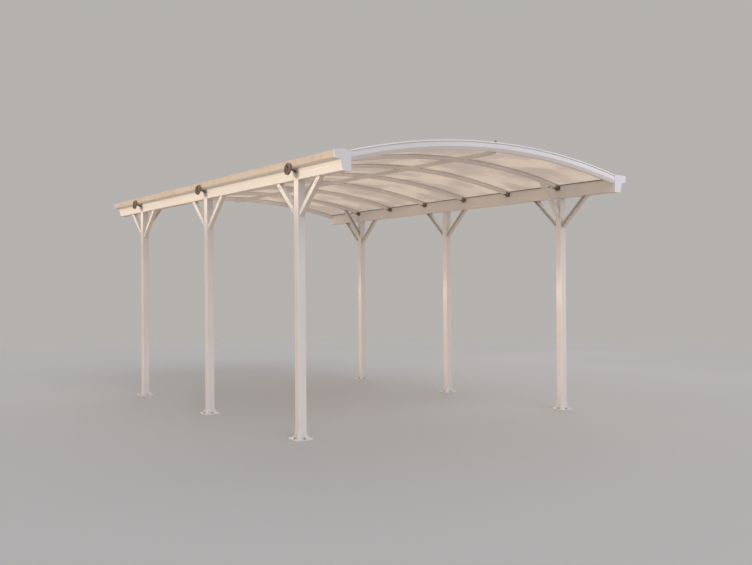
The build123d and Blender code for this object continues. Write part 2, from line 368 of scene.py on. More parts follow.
@dataclass(frozen=True)
class PowderCoat(Finish):
    """Satin powder coat with orange peel and die lines, dusty on top and splashed near the ground.

    Dust and the tan tint are each given by what lies everywhere and what a patch adds. The tan tint
    covers everything beyond a given distance across the bay; a distance of 0 gives none.
    """

    name: str
    drawn: Drawn = Drawn.NONE
    colour: Colour = (0.80, 0.79, 0.78)
    shade_colour: Colour = (0.76, 0.75, 0.745)
    dust_colour: Colour = (0.60, 0.56, 0.50)
    # The tan of the tint over the beam's outer edge.
    outer_tint_colour: Colour = (0.46, 0.355, 0.265)
    tone: Cloud = Cloud(1.3, 3.0, steps=(0.35, 0.65))
    patches: Cloud = Cloud(9.0, 4.0, 0.6, (0.42, 0.75))
    splashes: Cloud = Cloud(38.0, 5.0, 0.65, (0.45, 0.72))
    peel: Relief = Relief(420.0, 1.0, 0.00006, 0.6)
    die_lines: Relief = Relief(260.0, 1.0, 0.00003, 0.5)
    along_lines: float = 0.004
    roughness: float = 0.34
    tone_roughness: float = 0.08
    dirt_roughness: float = 0.5
    dust: Pair = (0.10, 0.22)
    dust_slopes: Pair = (0.55, 0.95)
    splash: float = 0.22
    splash_height: float = 0.28
    outer_tint: Pair = (0.60, 0.22)
    outer_tint_edge: float = 0.004
    outer_tint_from: float = 0.0
    arch: Arch | None = None

    def shade(self, graph: Graph) -> Value:
        """Build the shader.

        Args:
            graph: The material's node tree.

        Returns:
            The shader.
        """
        place = graph.place()
        tone = self.tone.mask(graph, place)
        patches = self.patches.mask(graph, place)
        dust = graph.upward().stepped(*self.dust_slopes) * (self.dust[0] + self.dust[1] * patches)
        low = 1.0 - graph.part(place, "Z").stepped(0.0, self.splash_height)
        dirt = dust + low * self.splashes.mask(graph, place) * self.splash
        paint = graph.blend(tone, self.colour, self.shade_colour)
        paint = graph.blend(dirt, paint, self.dust_colour)
        # A tan tint over everything beyond a given distance across the bay, heavier in patches.
        if self.outer_tint_from:
            across = graph.part(place, "X")
            outside = across.maths("ABSOLUTE", across)
            edge = outside.stepped(self.outer_tint_from, self.outer_tint_from + self.outer_tint_edge)
            paint = graph.blend(edge * (self.outer_tint[0] + self.outer_tint[1] * patches), paint, self.outer_tint_colour)
        normal = self.peel.lift(graph, place)
        if self.drawn is not Drawn.NONE:
            normal = self.die_lines.lift(graph, self._across_lines(graph, place), normal)
        inputs = {
            "Base Color": paint,
            "Roughness": self.roughness + self.tone_roughness * tone + self.dirt_roughness * dirt,
            "Normal": normal,
            "IOR": 1.5,
        }
        return graph.principled(inputs)

    def _across_lines(self, graph: Graph, place: Value) -> Value:
        """A place that hardly changes along the lines of the die.

        Args:
            graph: The material's node tree.
            place: The place on the object.

        Returns:
            The place to read the lines at.
        """
        if self.drawn is Drawn.LENGTH:
            return graph.scaled(place, (1.0, self.along_lines, 1.0))
        if self.drawn is Drawn.HEIGHT:
            return graph.scaled(place, (1.0, 1.0, self.along_lines))
        centre = (0.0, 0.0, self.arch.centre)
        centred = graph.node("ShaderNodeVectorMath", {"operation": "SUBTRACT"}, {0: place, 1: centre})
        inputs = {
            "X": graph.part(place, "X") * self.along_lines,
            "Y": graph.part(place, "Y"),
            "Z": graph.length(graph.scaled(centred, (1.0, 0.0, 1.0))),
        }
        return graph.node("ShaderNodeCombineXYZ", inputs=inputs)


@dataclass(frozen=True)
class CastCoat(Finish):
    """Powder coat over a sand casting: a slow, lumpy skin with grit in the corners near the ground."""

    name: str
    colour: Colour = (0.77, 0.76, 0.75)
    shade_colour: Colour = (0.70, 0.69, 0.68)
    grit_colour: Colour = (0.50, 0.46, 0.41)
    tone: Cloud = Cloud(22.0, 3.0, steps=(0.3, 0.7))
    specks: Cloud = Cloud(130.0, 6.0, 0.7, (0.48, 0.66))
    lumps: Relief = Relief(75.0, 3.0, 0.0004, 0.55)
    skin: Relief = Relief(520.0, 1.0, 0.00008, 0.6)
    shade_share: float = 0.35
    grit_share: float = 0.45
    grit_heights: Pair = (0.004, 0.035)
    roughness: float = 0.42
    grit_roughness: float = 0.4

    def shade(self, graph: Graph) -> Value:
        """Build the shader.

        Args:
            graph: The material's node tree.

        Returns:
            The shader.
        """
        place = graph.place()
        low = 1.0 - graph.part(place, "Z").stepped(*self.grit_heights)
        grit = low * self.specks.mask(graph, place) * self.grit_share
        tone = self.tone.mask(graph, place) * self.shade_share
        paint = graph.blend(tone, self.colour, self.shade_colour)
        inputs = {
            "Base Color": graph.blend(grit, paint, self.grit_colour),
            "Roughness": self.roughness + self.grit_roughness * grit,
            "Normal": self.skin.lift(graph, place, self.lumps.lift(graph, place)),
            "IOR": 1.5,
        }
        return graph.principled(inputs)


@dataclass(frozen=True)
class MouldedPlastic(Finish):
    """Moulded plastic with a spark-eroded grain and a faint weathered bloom on top.

    The bloom comes in between two slopes of a face, and has an even share and a cloudy one.
    """

    name: str
    colour: Colour
    bloom_colour: Colour
    cloud: Cloud = Cloud(26.0, 4.0, 0.6)
    grain: Relief = Relief(900.0, 2.0, 0.00005, 0.7)
    ior: float = 1.46
    roughness: float = 0.5
    cloud_roughness: float = 0.1
    bloom_roughness: float = 0.3
    bloom: float = 0.25
    bloom_slopes: Pair = (-0.2, 0.9)
    bloom_shares: Pair = (0.35, 0.65)

    def shade(self, graph: Graph) -> Value:
        """Build the shader.

        Args:
            graph: The material's node tree.

        Returns:
            The shader.
        """
        place = graph.place()
        cloud = self.cloud.mask(graph, place)
        share = self.bloom_shares[0] + self.bloom_shares[1] * cloud
        bloom = graph.upward().stepped(*self.bloom_slopes) * share * self.bloom
        inputs = {
            "Base Color": graph.blend(bloom, self.colour, self.bloom_colour),
            "Roughness": self.roughness + self.cloud_roughness * cloud + self.bloom_roughness * bloom,
            "Normal": self.grain.lift(graph, place),
            "IOR": self.ior,
        }
        return graph.principled(inputs)


@dataclass(frozen=True)
class Rubber(MouldedPlastic):
    """Sealing rubber, matt and chalky on every side, as its bloom starts below any slope."""

    cloud: Cloud = Cloud(60.0, 4.0, 0.65, (0.4, 0.7))
    grain: Relief = Relief(700.0, 1.0, 0.00005, 0.6)
    ior: float = 1.5
    roughness: float = 0.6
    cloud_roughness: float = 0.2
    bloom_roughness: float = 0.0
    bloom: float = 0.5
    bloom_slopes: Pair = (-3.0, -2.0)
    bloom_shares: Pair = (0.0, 1.0)


@dataclass(frozen=True)
class ClearSheet(Finish):
    """Polycarbonate with hazy patches and run-off streaks, which lets soft light through; its mauve colour
    is a painted reflection, and the hazy patches and streaks are painted in a warm peach light.
    """

    name: str
    # Mauve base colour: a painted reflection of the surroundings.
    colour: Colour = (0.66, 0.60, 0.65)
    # Peach colour of the hazy patches and streaks: painted warm light.
    painted_warm_light_colour: Colour = (0.97, 0.89, 0.75)
    glow_colour: Colour = (1.0, 0.91, 0.80)
    patches: Cloud = Cloud(1.0, 2.0, 0.45, (0.38, 0.62), (2.1, 2.6, 1.0))
    runs: Cloud = Cloud(1.0, 4.0, 0.6, (0.5, 0.8), (0.8, 26.0, 1.0))
    waves: Relief = Relief(1.0, 2.0, 0.004, 0.35, (1.5, 5.0, 1.0))
    flutes: Relief = Relief(1.0, 1.0, 0.0003, 0.15, (0.4, 90.0, 0.4))
    patch_share: float = 0.70
    run_share: float = 0.30
    opacity: float = 0.52
    clearer: float = 0.18
    glow: float = 0.28
    haze_glow: float = 0.24
    roughness: float = 0.22
    haze_roughness: float = 0.14

    def shade(self, graph: Graph) -> Value:
        """Build the shader.

        Args:
            graph: The material's node tree.

        Returns:
            The shader.
        """
        place = graph.place()
        patches = self.patches.mask(graph, place) * self.patch_share
        # One mask for the hazy patches and streaks: it paints warm light into the colour and makes the
        # sheet rougher, clearer and more translucent.
        haze_and_painted_light = patches + self.runs.mask(graph, place) * self.run_share
        inputs = {
            "Base Color": graph.blend(haze_and_painted_light, self.colour, self.painted_warm_light_colour),
            "Roughness": self.roughness + self.haze_roughness * haze_and_painted_light,
            "Alpha": self.opacity - self.clearer * haze_and_painted_light,
            "Normal": self.flutes.lift(graph, place, self.waves.lift(graph, place)),
            "IOR": 1.58,
            "Specular IOR Level": 0.15,
        }
        skin = graph.principled(inputs)
        through = graph.node("ShaderNodeBsdfTranslucent", inputs={"Color": (*self.glow_colour, 1.0)})
        share = self.glow + self.haze_glow * haze_and_painted_light
        return graph.node("ShaderNodeMixShader", inputs={0: share, 1: skin, 2: through})


@dataclass(frozen=True)
class Zinc(Finish):
    """Zinc-plated steel with a slightly mottled shine."""

    name: str
    colour: Colour = (0.62, 0.62, 0.61)
    mottle_colour: Colour = (0.46, 0.45, 0.44)
    mottle: Cloud = Cloud(240.0, 3.0, 0.6)
    mottle_depth: float = 0.00003
    mottle_strength: float = 0.5
    roughness: float = 0.28
    mottle_roughness: float = 0.16

    def shade(self, graph: Graph) -> Value:
        """Build the shader.

        Args:
            graph: The material's node tree.

        Returns:
            The shader.
        """
        mottle = self.mottle.mask(graph, graph.place())
        inputs = {
            "Base Color": graph.blend(mottle, self.colour, self.mottle_colour),
            "Metallic": 1.0,
            "Roughness": self.roughness + self.mottle_roughness * mottle,
            "Normal": graph.bump(mottle, self.mottle_depth, self.mottle_strength),
        }
        return graph.principled(inputs)


@dataclass(frozen=True)
class StudioFloor(Finish):
    """A plain pale floor that fades out between two distances, and throws back another colour."""

    name: str
    colour: Colour
    bounce: Colour
    fade: Pair

    def shade(self, graph: Graph) -> Value:
        """Build the shader.

        Args:
            graph: The material's node tree.

        Returns:
            The shader.
        """
        seen = graph.node("ShaderNodeLightPath", output="Is Camera Ray")
        inputs = {
            "Base Color": graph.blend(seen, self.bounce, self.colour),
            "Roughness": 0.8,
            "Specular IOR Level": 0.1,
            "Alpha": 1.0 - graph.length(graph.place()).stepped(*self.fade),
        }
        return graph.principled(inputs)


def piece(name: str, mesh: Mesh, finish: Finish, slot: str | None) -> bpy.types.Object:
    """Turn a mesh into a dressed piece, parented to the empty of the root body.

    Args:
        name: The piece's name.
        mesh: The mesh, which is freed.
        finish: What it is dressed in.
        slot: The record's slot for that finish, if it has one; not used.

    Returns:
        The piece.
    """
    bmesh.ops.remove_doubles(mesh, verts=mesh.verts, dist=WELD)
    bmesh.ops.recalc_face_normals(mesh, faces=mesh.faces)
    data = bpy.data.meshes.new(name)
    mesh.to_mesh(data)
    mesh.free()
    data.set_sharp_from_angle(angle=SHARP_FROM)
    made = bpy.data.objects.new(name, data)
    bpy.context.scene.collection.objects.link(made)
    finish.dress(made)
    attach(made, ROOT)
    log.info("%s: %d faces", name, len(data.polygons))
    return made


def band(mesh: Mesh, near: Ring, far: Ring) -> None:
    """Join two rings of corners with faces.

    Args:
        mesh: What gets the faces.
        near: The corners of the first ring.
        far: The corners of the second ring, as many as the first has.
    """
    for k in range(len(near)):
        after = (k + 1) % len(near)
        mesh.faces.new((near[k], near[after], far[after], far[k]))


def sweep(mesh: Mesh, section: Sequence[Point], stations: Sequence[Matrix]) -> None:
    """Carry a closed section along stations and close both ends.

    Args:
        mesh: What gets the faces.
        section: Points in each station's x and y.
        stations: Places and turns, in order.
    """
    rings = []
    for station in stations:
        rings.append([mesh.verts.new(station @ Vector((u, v, 0.0))) for u, v in section])
    for near, far in zip(rings, rings[1:]):
        band(mesh, near, far)
    mesh.faces.new(rings[0])
    mesh.faces.new(reversed(rings[-1]))


def turned(mesh: Mesh, outline: Sequence[Point], sides: int, seat: Matrix) -> None:
    """Turn an outline round an axis and close both ends.

    Args:
        mesh: What gets the faces.
        outline: Radius and height of each ring.
        sides: How many sides the solid has.
        seat: The place and the direction of the axis.
    """
    turns = [math.tau * k / sides for k in range(sides)]
    section = [(math.cos(turn), math.sin(turn)) for turn in turns]
    stations = []
    for radius, height in outline:
        width = Matrix.Diagonal((radius, radius, 1, 1))
        stations.append(seat @ Matrix.Translation((0, 0, height)) @ width)
    sweep(mesh, section, stations)


def seat_at(place: Vector, direction: Vector, spin: float = 0.0) -> Matrix:
    """A matrix with its z along a direction.

    Args:
        place: Its origin.
        direction: Where its z axis points.
        spin: A turn about that axis, in radians.

    Returns:
        The matrix.
    """
    turn = direction.to_track_quat("Z", "Y").to_matrix().to_4x4()
    return Matrix.Translation(place) @ turn @ Matrix.Rotation(spin, 4, "Z")


@dataclass(frozen=True)
class Screw:
    """A hexagon or domed head on a washer, each given by its radius and its height."""

    head: float
    height: float
    washer: float
    washer_height: float
    domed: bool = False
    sides: int = 14
    washer_edge: ClassVar[float] = 0.18
    dome_turns: ClassVar[tuple[float, ...]] = (0.0, 0.45, 0.9, 1.25)
    hexagon: ClassVar[tuple[Point, ...]] = ((1.0, 0.0), (1.0, 0.8), (0.84, 1.0))

    def drive(self, mesh: Mesh, seat: Matrix) -> None:
        """Add the screw to a mesh.

        Args:
            mesh: What gets the faces.
            seat: The surface that it sits on, with z outward.
        """
        top = self.washer_height
        edge = self.washer_edge * top
        washer = [(self.washer, 0.0), (self.washer, top - edge), (self.washer - edge, top)]
        turned(mesh, washer, self.sides, seat)
        outline = [(math.cos(t), math.sin(t)) for t in self.dome_turns] if self.domed else self.hexagon
        head = [(self.head * out, top + self.height * up) for out, up in outline]
        turned(mesh, head, self.sides if self.domed else 6, seat)


@dataclass
class FootAnchors:
    """The four threaded anchors through each foot plate, each with a washer and a nut."""

    steel: Finish
    plate_top: float = 0.010
    circle: float = 0.057
    spin: float = 0.3
    washer: float = 0.0105
    washer_height: float = 0.002
    nut: float = 0.0098
    nut_height: float = 0.008
    nut_outline: tuple[Point, ...] = ((0.9, 0.0), (1.0, 0.125), (1.0, 0.85), (0.86, 1.0))
    stud: float = 0.005
    stud_height: float = 0.0165
    stud_edge: float = 0.0012
    thread_pitch: float = 0.0015
    thread_depth: float = 0.0006

    def build(self) -> None:
        """Make one mesh of anchors a row."""
        for side in SIDES:
            mesh = bmesh.new()
            for place in POST_PLACES:
                foot = middle_of(f"post_{place}_{side}")
                foot.z = self.plate_top
                for quarter in range(4):
                    turn = math.radians(90 * quarter)
                    at = foot + self.circle * Vector((math.cos(turn), math.sin(turn), 0.0))
                    spin = Matrix.Rotation(self.spin + quarter, 4, "Z")
                    self._anchor(mesh, Matrix.Translation(at) @ spin)
            piece(f"{side}_foot_anchors", mesh, self.steel, None)

    def _anchor(self, mesh: Mesh, seat: Matrix) -> None:
        """Add one washer, nut and stud end.

        Args:
            mesh: What gets the faces.
            seat: The place on the plate.
        """
        base = self.washer_height
        top = base + self.nut_height
        turned(mesh, [(self.washer, 0.0), (self.washer, base)], 18, seat)
        nut = [(self.nut * out, base + self.nut_height * up) for out, up in self.nut_outline]
        turned(mesh, nut, 6, seat)
        thread = [(self.stud, top)]
        for turn in range(int((self.stud_height - top) / self.thread_pitch)):
            thread.append((self.stud - self.thread_depth, top + self.thread_pitch * (turn + 0.5)))
            thread.append((self.stud, top + self.thread_pitch * (turn + 1)))
        thread.append((self.stud - self.stud_edge, self.stud_height))
        turned(mesh, thread, 12, seat)


@dataclass
class Posts:
    """The posts and their feet, with the sealing bead and set screws of each collar."""

    tube_coat: Finish
    brace_coat: Finish
    cast_coat: Finish
    seal: Finish
    steel: Finish
    collar_top: float = 0.060
    collar_half: float = 0.0393
    corner: float = 0.008
    corner_steps: int = 4
    bead: float = 0.0028
    bead_outline: tuple[Point, ...] = ((0.0, 0.0), (1.0, 0.0), (0.75, 0.6), (0.0, 1.0))
    set_screw: Screw = Screw(0.0034, 0.0016, 0.0042, 0.0006, domed=True, sides=12)
    set_screw_height: float = 0.041

    def build(self) -> None:
        """Dress the posts, braces and feet and add the beads and set screws."""
        for side in SIDES:
            self.cast_coat.dress(frame["nodes"][f"{side}_feet"])
            beads = bmesh.new()
            screws = bmesh.new()
            for place in POST_PLACES:
                self.tube_coat.dress(frame["nodes"][f"post_{place}_{side}"])
                self.brace_coat.dress(frame["nodes"][f"braces_{place}_{side}"])
                low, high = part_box(f"post_{place}_{side}")
                middle = (low + high) / 2
                self._bead(beads, middle, (high.x - low.x) / 2)
                for sign in (-1, 1):
                    at = Vector((middle.x + sign * self.collar_half, middle.y, self.set_screw_height))
                    self.set_screw.drive(screws, seat_at(at, Vector((sign, 0, 0))))
            piece(f"{side}_collar_beads", beads, self.seal, None)
            piece(f"{side}_collar_screws", screws, self.steel, None)

    def _bead(self, mesh: Mesh, middle: Vector, half: float) -> None:
        """Run a bead of sealant round a post on top of its collar.

        Args:
            mesh: What gets the faces.
            middle: The middle of the post.
            half: Half the post's width.
        """
        inner = half - self.corner
        rings = []
        for quarter in range(4):
            diagonal = math.radians(90 * quarter + 45)
            x = middle.x + math.copysign(inner, math.cos(diagonal))
            y = middle.y + math.copysign(inner, math.sin(diagonal))
            for step in range(self.corner_steps + 1):
                turn = math.radians(90 * (quarter + step / self.corner_steps))
                out = Vector((math.cos(turn), math.sin(turn), 0.0))
                base = Vector((x, y, self.collar_top)) + out * self.corner
                ring = []
                for u, v in self.bead_outline:
                    rise = Vector((0, 0, self.bead * v))
                    ring.append(mesh.verts.new(base + out * (self.bead * u) + rise))
                rings.append(ring)
        for near, far in zip(rings, rings[1:] + rings[:1]):
            band(mesh, near, far)


@dataclass
class BraceScrews:
    """The screws through the web of each brace, a pair at each end."""

    steel: Finish
    half_section: float = 0.019
    run: float = 0.330
    slope: float = 42.0
    cross_slope: float = 55.0
    screw: Screw = Screw(0.0042, 0.0026, 0.0056, 0.0010, domed=True)
    first: float = 0.085
    last: float = 0.0425
    pitch: float = 0.026

    def build(self) -> None:
        """Make one mesh of screws a row."""
        rise = math.radians(self.slope)
        for side, sign in SIDES.items():
            mesh = bmesh.new()
            for place in POST_PLACES:
                top = middle_of(f"post_{place}_{side}")
                top.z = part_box(f"post_{place}_{side}")[1].z
                foot = top + Vector((sign * self.half_section, 0.0, -self.run * math.tan(rise)))
                for way in (-1, 1):
                    along = Vector((0.0, way * math.cos(rise), math.sin(rise)))
                    self._row(mesh, foot, along, self.run / math.cos(rise), Vector((sign, 0, 0)))
                if place != "middle":
                    end = -1 if place == "front" else 1
                    self._cross(mesh, top, sign, end, f"braces_{place}_{side}")
            piece(f"{side}_brace_screws", mesh, self.steel, None)

    def _row(self, mesh: Mesh, foot: Vector, along: Vector, reach: float, out: Vector) -> None:
        """Drive a pair of screws at each end of a brace.

        Args:
            mesh: What gets the faces.
            foot: The lower end of the brace, on its web.
            along: The direction up the brace.
            reach: The brace's length.
            out: The direction that its web faces.
        """
        last = reach - self.last
        for distance in (self.first, self.first + self.pitch, last - self.pitch, last):
            self.screw.drive(mesh, seat_at(foot + distance * along, out))

    def _cross(self, mesh: Mesh, top: Vector, sign: int, end: int, node: str) -> None:
        """Screw the brace that runs across the bay.

        Args:
            mesh: What gets the faces.
            top: The middle of the post's top.
            sign: The row, -1 or 1.
            end: The end of the bay that the brace's web faces, -1 or 1.
            node: The braces' name in the frame.
        """
        low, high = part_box(node)
        slope = math.radians(self.cross_slope)
        inner = low.x if sign > 0 else high.x
        reach = abs(inner - top.x) / math.cos(slope)
        foot = Vector((top.x, top.y + end * self.half_section, high.z - reach * math.sin(slope)))
        along = Vector((-sign * math.cos(slope), 0.0, math.sin(slope)))
        self._row(mesh, foot, along, reach, Vector((0, end, 0)))


@dataclass
class Roof:
    """The arches, ribs, purlin and sheets, with their seals and screws."""

    arch: Arch
    metal: Finish
    sheet: Finish
    dark: Finish
    pale_seal: Finish
    coated_screw_finish: Finish
    steel: Finish
    box_half: float = 0.020
    box_end: float = 0.064
    fascia_width: float = 0.042
    fascia_back: float = 0.038
    slot_end: float = 0.024
    seal_width: float = 0.0032
    seal_height: float = 0.0024
    seal_outline: tuple[Point, ...] = ((0.0, 0.0), (1.0, 0.0), (0.8, 0.55), (0.35, 0.92), (0.0, 1.0))
    arc_steps: int = 44
    cap_screw: Screw = Screw(0.0050, 0.0042, 0.0085, 0.0022)
    cap_screw_end: float = 0.08
    cap_screw_turn: float = 0.4
    cap_screws: int = 8
    purlin_screw: Screw = Screw(0.0045, 0.0028, 0.0060, 0.0010, domed=True)
    purlin_screw_out: float = 0.010
    rib_places: list[float] = field(default_factory=list)

    def build(self) -> None:
        """Dress the roof's nodes and add the seals and screws."""
        nodes = frame["nodes"]
        for name in ("front_arch", "rear_arch", "ridge_purlin"):
            self.metal.dress(nodes[name])
        self.dark.dress(nodes["crown_bolts"])
        for number in range(1, BAYS):
            self.metal.dress(nodes[f"rib_{number}"])
            self.rib_places.append(middle_of(f"rib_{number}").y)
        for number in range(1, BAYS + 1):
            self.sheet.dress(nodes[f"roof_panel_{number}"])
        self._rib_seals()
        self._end_seals()
        self._rib_screws()
        self._purlin_screws()

    def _arc(self, mesh: Mesh, y: float, drop: float, half: float, way: int, up: int) -> None:
        """Run a bead round the arch, in the corner between a sheet and a rib.

        Args:
            mesh: What gets the faces.
            y: The place of the corner along the length.
            drop: How far the corner lies under the top of the arches.
            half: Half of the bead's width across the bay.
            way: The side of the corner that it lies on, -1 or 1.
            up: 1 over the sheet and -1 under it.
        """
        width, height = way * self.seal_width, up * self.seal_height
        section = [(u * width, v * height) for u, v in self.seal_outline]
        stations = []
        for step in range(self.arc_steps + 1):
            x = half * (2 * step / self.arc_steps - 1)
            out = self.arch.outward(x)
            tangent = Vector((out.z, 0.0, -out.x))
            turn = Matrix((Vector((0, 1, 0)), out, tangent)).transposed().to_4x4()
            stations.append(Matrix.Translation(self.arch.at(x, y, drop)) @ turn)
        sweep(mesh, section, stations)

    def _rib_seals(self) -> None:
        """Seal the sheets against the caps and boxes of the ribs."""
        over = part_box("rib_1")[1].x
        under = self.arch.half_width - self.box_end
        low = SHEET_DROP + SHEET_THICKNESS
        for number, y in enumerate(self.rib_places, start=1):
            mesh = bmesh.new()
            for way in (-1, 1):
                self._arc(mesh, y + way * RIB_CAP_HALF, SHEET_DROP, over, way, 1)
                self._arc(mesh, y + way * self.box_half, low, under, way, -1)
            piece(f"rib_{number}_seals", mesh, self.pale_seal, None)

    def _end_seals(self) -> None:
        """Seal the first and last sheets in the slots of the end arches."""
        half = self.arch.half_width - self.slot_end
        low = SHEET_DROP + SHEET_THICKNESS
        for name, end in (("front", -1), ("rear", 1)):
            mesh = bmesh.new()
            outer = end * abs(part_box(f"{name}_arch")[0 if end < 0 else 1].y)
            self._arc(mesh, outer - end * self.fascia_width, SHEET_DROP, half, -end, 1)
            self._arc(mesh, outer - end * self.fascia_back, low, half, -end, -1)
            piece(f"{name}_arch_seals", mesh, self.pale_seal, None)

    def _rib_screws(self) -> None:
        """Screw down the cap of each rib."""
        drop = self.arch.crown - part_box("rib_1")[1].z
        half = self.arch.half_width - self.cap_screw_end
        mesh = bmesh.new()
        for y in self.rib_places:
            for step in range(self.cap_screws):
                x = half * (2 * step / (self.cap_screws - 1) - 1)
                turn = self.cap_screw_turn * step
                self.cap_screw.drive(mesh, seat_at(self.arch.at(x, y, drop), self.arch.outward(x), turn))
        piece("rib_cap_screws", mesh, self.coated_screw_finish, "painted_aluminium")

    def _purlin_screws(self) -> None:
        """Screw the purlin up to each rib, two screws across it."""
        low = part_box("ridge_purlin")[0]
        mesh = bmesh.new()
        for y in self.rib_places:
            for x in (-self.purlin_screw_out, self.purlin_screw_out):
                self.purlin_screw.drive(mesh, seat_at(Vector((x, y, low.z)), Vector((0, 0, -1))))
        piece("ridge_purlin_screws", mesh, self.steel, None)


@dataclass
class GutterBeam:
    """The beam along one side, with its caps, clamping strip, shoes and round fittings."""

    side: str
    arch: Arch
    metal: Finish
    cap: Finish
    dark: Finish
    dark_seal: Finish
    steel: Finish
    length: float = 5.0
    clamp_middle: float = 0.017
    clamp_thickness: float = 0.003
    clamp_gap: float = 0.0003
    clamp_screw: Screw = Screw(0.0040, 0.0034, 0.0062, 0.0012)
    clamp_screw_end: float = 0.05
    clamp_screw_turn: float = 0.7
    clamp_pitch: float = 0.22
    shoe_drop: float = 0.0656
    shoe_wall: float = 0.005
    shoe_cheek: float = 0.0253
    shoe_screw: Screw = Screw(0.0036, 0.0022, 0.0046, 0.0008, domed=True, sides=12)
    cheek_middle: float = 0.010
    cheek_screws: Pair = (0.017, 0.034)
    plate_screw_out: float = 0.022
    plate_screw_up: float = 0.0052
    trim: float = 0.001
    trim_depth: float = 0.009
    trim_return: float = 0.005
    seal_width: float = 0.0045
    seal_height: float = 0.0060
    seal_belly: Point = (0.55, 0.7)
    seal_gap: float = 0.036
    fitting_stand_off: float = 0.004
    fitting_thickness: float = 0.018
    fitting_height: float = 0.079
    fitting_tilt: float = 6.0
    fitting_before_post: float = 0.030
    fitting_ring: tuple[Point, ...] = ((0.036, 0.0), (0.0355, 0.0008), (0.033, 0.0008), (0.0325, 0.0))
    fitting_centre: tuple[Point, ...] = ((0.010, 0.0), (0.010, 0.0012), (0.0085, 0.0022))

    @property
    def sign(self) -> int:
        """The row, -1 or 1."""
        return SIDES[self.side]

    def build(self) -> None:
        """Dress the beam and what it carries, and add the small pieces."""
        nodes, side = frame["nodes"], self.side
        self.metal.dress(nodes[f"{side}_gutter_beam"])
        self.metal.dress(nodes[f"{side}_panel_clamps"])
        self.dark.dress(nodes[f"{side}_rib_brackets"])
        self.dark.dress(nodes[f"{side}_gutter_fittings"])
        for end in ("front", "rear"):
            self.cap.dress(nodes[f"gutter_cap_{end}_{side}"])
        self._clamp_screws()
        self._shoe_screws()
        self._edge_trims()
        self._beam_seal()
        self._fitting_faces()

    def _bay_spans(self, gap: float) -> list[Pair]:
        """The start and end of each bay.

        Args:
            gap: What stays free at each rib and at both ends.

        Returns:
            One pair of places along the length for each bay.
        """
        bay, half = self.length / BAYS, self.length / 2
        ribs = [bay * number - half for number in range(1, BAYS)]
        ends = [RIB_CAP_HALF - half, *ribs, half - RIB_CAP_HALF]
        return [(start + gap, end - gap) for start, end in zip(ends, ends[1:])]

    def _run(self, section: Sequence[Point], gap: float) -> Mesh:
        """Run a section along every bay.

        Args:
            section: Points across the bay and up.
            gap: What stays free at each rib and at both ends.

        Returns:
            The mesh.
        """
        mesh = bmesh.new()
        turn = Matrix(((1, 0, 0), (0, 0, 1), (0, 1, 0))).to_4x4()
        for span in self._bay_spans(gap):
            sweep(mesh, section, [Matrix.Translation((0, y, 0)) @ turn for y in span])
        return mesh

    def _clamp_screws(self) -> None:
        """Screw the clamping strips down through the edge of the sheets."""
        low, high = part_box(f"{self.side}_panel_clamps")
        x = min(abs(low.x), abs(high.x)) + self.clamp_middle
        slope = self.arch.outward(x)
        height = self.arch.at(x, 0.0, SHEET_DROP).z + self.clamp_gap / slope.z + self.clamp_thickness
        out = Vector((self.sign * slope.x, 0.0, slope.z))
        mesh = bmesh.new()
        for start, end in self._bay_spans(self.clamp_screw_end):
            count = max(2, round((end - start) / self.clamp_pitch) + 1)
            for step in range(count):
                at = Vector((self.sign * x, start + (end - start) * step / (count - 1), height))
                self.clamp_screw.drive(mesh, seat_at(at, out, self.clamp_screw_turn * step))
        piece(f"{self.side}_clamp_screws", mesh, self.steel, None)

    def _shoe_screws(self) -> None:
        """Screw the shoes to the beam and the ribs to the shoes."""
        face = self.arch.half_width
        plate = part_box(f"{self.side}_rib_brackets")[0].z + self.plate_screw_up
        mesh = bmesh.new()
        for number in range(1, BAYS):
            y = middle_of(f"rib_{number}").y
            for way in (-1, 1):
                at = Vector((self.sign * (face - self.shoe_wall), y + way * self.plate_screw_out, plate))
                self.shoe_screw.drive(mesh, seat_at(at, Vector((-self.sign, 0, 0))))
                for back in self.cheek_screws:
                    spot = self.arch.at(face - back, y, self.shoe_drop - self.cheek_middle)
                    at = Vector((self.sign * spot.x, y + way * self.shoe_cheek, spot.z))
                    self.shoe_screw.drive(mesh, seat_at(at, Vector((0, way, 0))))
        piece(f"{self.side}_shoe_screws", mesh, self.steel, None)

    def _edge_trims(self) -> None:
        """Close the lower edge of each sheet with a thin channel."""
        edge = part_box("roof_panel_1")[1].x
        wall, over, under = self.trim, SHEET_DROP, SHEET_DROP + SHEET_THICKNESS
        corners = (
            (edge - self.trim_depth, over),
            (edge - self.trim_depth, over - wall),
            (edge + wall, over - wall),
            (edge + wall, under + wall),
            (edge - self.trim_return, under + wall),
            (edge - self.trim_return, under),
            (edge, under),
            (edge, over),
        )
        spots = [self.arch.at(x, 0.0, drop) for x, drop in corners]
        mesh = self._run([(self.sign * spot.x, spot.z) for spot in spots], RIB_CAP_HALF + self.trim)
        piece(f"{self.side}_sheet_edge_trims", mesh, self.metal, "painted_aluminium")

    def _beam_seal(self) -> None:
        """Lay a dark seal in the corner between the sheets and the beam's inner face."""
        face, under = self.arch.half_width, SHEET_DROP + SHEET_THICKNESS
        top = self.arch.at(face, 0.0, under)
        inner = self.arch.at(face - self.seal_width, 0.0, under)
        belly = top.x - self.seal_belly[0] * self.seal_width, top.z - self.seal_belly[1] * self.seal_height
        corners = ((top.x, top.z), (inner.x, inner.z), belly, (top.x, top.z - self.seal_height))
        mesh = self._run([(self.sign * x, z) for x, z in corners], self.seal_gap)
        piece(f"{self.side}_beam_seals", mesh, self.dark_seal, "dark_plastic")

